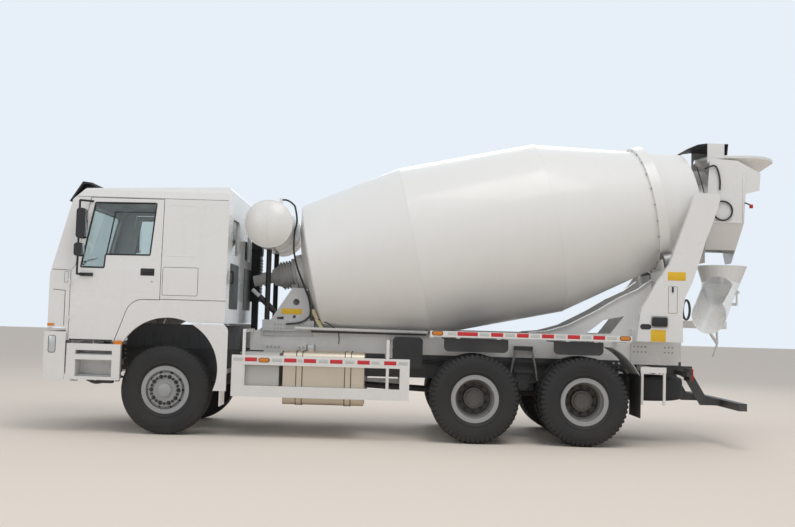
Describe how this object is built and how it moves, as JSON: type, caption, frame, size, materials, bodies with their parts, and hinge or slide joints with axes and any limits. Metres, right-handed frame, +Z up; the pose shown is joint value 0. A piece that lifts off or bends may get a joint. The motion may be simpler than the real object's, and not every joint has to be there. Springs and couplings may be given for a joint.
{
  "type": "concrete mixer truck",
  "caption": "Three-axle cab-over concrete mixer truck with a tilted rotating drum, loading hopper, discharge chute and side guards.",
  "frame": {"origin": "middle of the vehicle's length and width, on the ground", "axes": "+X rearwards, +Y to the right-hand side, +Z up"},
  "size_m": [9.4648, 2.81, 3.965],
  "materials": {
    "white_paint": "gloss",
    "dark_paint": "satin",
    "black_plastic": "matte",
    "black_rubber": "matte",
    "tyre_rubber": "matte",
    "grey_paint": "satin",
    "window_glass": "clear",
    "dark_fabric": "matte",
    "tank_metal": "satin",
    "clear_lens": "gloss",
    "red_lens": "gloss"
  },
  "bodies": {
    "chassis": {"frame": "dark_paint", "cross_members": "dark_paint", "power_unit": "dark_paint", "front_bumper": "white_paint", "head_lamps": "clear_lens", "cab_steps": "white_paint", "mudguards_front": "white_paint", "fuel_tank": "tank_metal", "side_boxes": "grey_paint", "side_guards": "white_paint", "front_axle": "dark_paint", "drive_axles": "dark_paint", "bogie_springs": "dark_paint", "subframe": "white_paint", "mudguards_rear": "black_plastic", "front_pedestal": "grey_paint", "drum_drive": "grey_paint", "water_tank": "white_paint", "air_intake": "black_plastic", "rear_pedestal": "white_paint", "hopper": "white_paint", "hopper_cover": "black_rubber", "collector": "white_paint", "ladder": "white_paint", "underrun_guard": "dark_paint", "tail_lamps": "red_lens", "spare_wheel": "tyre_rubber", "water_hoses": "black_rubber"},
    "cab": {"cab_shell": "white_paint", "cab_glass": "window_glass", "cab_interior": "dark_fabric", "sun_visor": "black_plastic"},
    "front_panel": {"front_panel": "white_paint"},
    "door_left": {"door_left": "white_paint", "door_glass_left": "window_glass", "mirror_left": "black_plastic"},
    "knuckle_left": {"knuckle_left": "dark_paint"},
    "front_wheel_left": {"front_rim_left": "grey_paint", "front_tyre_left": "tyre_rubber"},
    "mid_wheels_left": {"mid_rims_left": "grey_paint", "mid_tyres_left": "tyre_rubber"},
    "rear_wheels_left": {"rear_rims_left": "grey_paint", "rear_tyres_left": "tyre_rubber"},
    "roller_left": {"roller_left": "dark_paint"},
    "door_right": {"door_right": "white_paint", "door_glass_right": "window_glass", "mirror_right": "black_plastic"},
    "knuckle_right": {"knuckle_right": "dark_paint"},
    "front_wheel_right": {"front_rim_right": "grey_paint", "front_tyre_right": "tyre_rubber"},
    "mid_wheels_right": {"mid_rims_right": "grey_paint", "mid_tyres_right": "tyre_rubber"},
    "rear_wheels_right": {"rear_rims_right": "grey_paint", "rear_tyres_right": "tyre_rubber"},
    "roller_right": {"roller_right": "dark_paint"},
    "drum": {"drum": "white_paint"},
    "chute_bracket": {"chute_bracket": "white_paint"},
    "chute": {"chute": "white_paint"}
  },
  "joints": [
    {"name": "steer_left", "type": "hinge", "parent": "chassis", "child": "knuckle_left", "pos_m": [-3.1575, -0.88, 0.551], "axis": [0, 0, 1], "range_deg": [-35, 35]},
    {"name": "steer_right", "type": "hinge", "parent": "chassis", "child": "knuckle_right", "pos_m": [-3.1575, 0.88, 0.551], "axis": [0, 0, 1], "range_deg": [-35, 35]},
    {"name": "front_wheel_left_spin", "type": "hinge", "parent": "knuckle_left", "child": "front_wheel_left", "pos_m": [-3.1575, -1.011, 0.551], "axis": [0, 1, 0], "continuous": true},
    {"name": "front_wheel_right_spin", "type": "hinge", "parent": "knuckle_right", "child": "front_wheel_right", "pos_m": [-3.1575, 1.011, 0.551], "axis": [0, 1, 0], "continuous": true},
    {"name": "mid_wheels_left_spin", "type": "hinge", "parent": "chassis", "child": "mid_wheels_left", "pos_m": [0.6675, -0.915, 0.551], "axis": [0, 1, 0], "continuous": true},
    {"name": "mid_wheels_right_spin", "type": "hinge", "parent": "chassis", "child": "mid_wheels_right", "pos_m": [0.6675, 0.915, 0.551], "axis": [0, 1, 0], "continuous": true},
    {"name": "rear_wheels_left_spin", "type": "hinge", "parent": "chassis", "child": "rear_wheels_left", "pos_m": [2.0175, -0.915, 0.551], "axis": [0, 1, 0], "continuous": true},
    {"name": "rear_wheels_right_spin", "type": "hinge", "parent": "chassis", "child": "rear_wheels_right", "pos_m": [2.0175, 0.915, 0.551], "axis": [0, 1, 0], "continuous": true},
    {"name": "cab_tilt", "type": "hinge", "parent": "chassis", "child": "cab", "pos_m": [-4.4975, 0, 1], "axis": [0, -1, 0], "range_deg": [0, 50]},
    {"name": "front_panel_hinge", "type": "hinge", "parent": "cab", "child": "front_panel", "pos_m": [-4.5945, 0, 1.985], "axis": [0, -1, 0], "range_deg": [-80, 0]},
    {"name": "door_left_hinge", "type": "hinge", "parent": "cab", "child": "door_left", "pos_m": [-4.3605, -1.225, 1.6], "axis": [0, 0, 1], "range_deg": [-70, 0]},
    {"name": "door_right_hinge", "type": "hinge", "parent": "cab", "child": "door_right", "pos_m": [-4.3605, 1.225, 1.6], "axis": [0, 0, -1], "range_deg": [-70, 0]},
    {"name": "drum_spin", "type": "hinge", "parent": "chassis", "child": "drum", "pos_m": [-0.1125, 0, 2.421], "axis": [0.9781, 0, 0.2079], "continuous": true},
    {"name": "roller_left_spin", "type": "hinge", "parent": "chassis", "child": "roller_left", "pos_m": [3.17188, -0.63462, 2.34591], "axis": [0.9781, 0, 0.2079], "continuous": true},
    {"name": "roller_right_spin", "type": "hinge", "parent": "chassis", "child": "roller_right", "pos_m": [3.17188, 0.63462, 2.34591], "axis": [0.9781, 0, 0.2079], "continuous": true},
    {"name": "chute_swivel", "type": "hinge", "parent": "chassis", "child": "chute_bracket", "pos_m": [4.0825, 0, 1.7], "axis": [0, 0, 1], "range_deg": [0, 210]},
    {"name": "chute_tilt", "type": "hinge", "parent": "chute_bracket", "child": "chute", "pos_m": [4.0825, 0, 2], "axis": [-0.8988, 0.4384, 0], "range_deg": [-15, 5]}
  ],
  "couplings": [
    {"joint": "steer_right", "follows": "steer_left", "ratio": 1},
    {"joint": "roller_left_spin", "follows": "drum_spin", "ratio": -6.896},
    {"joint": "roller_right_spin", "follows": "drum_spin", "ratio": -6.896}
  ]
}
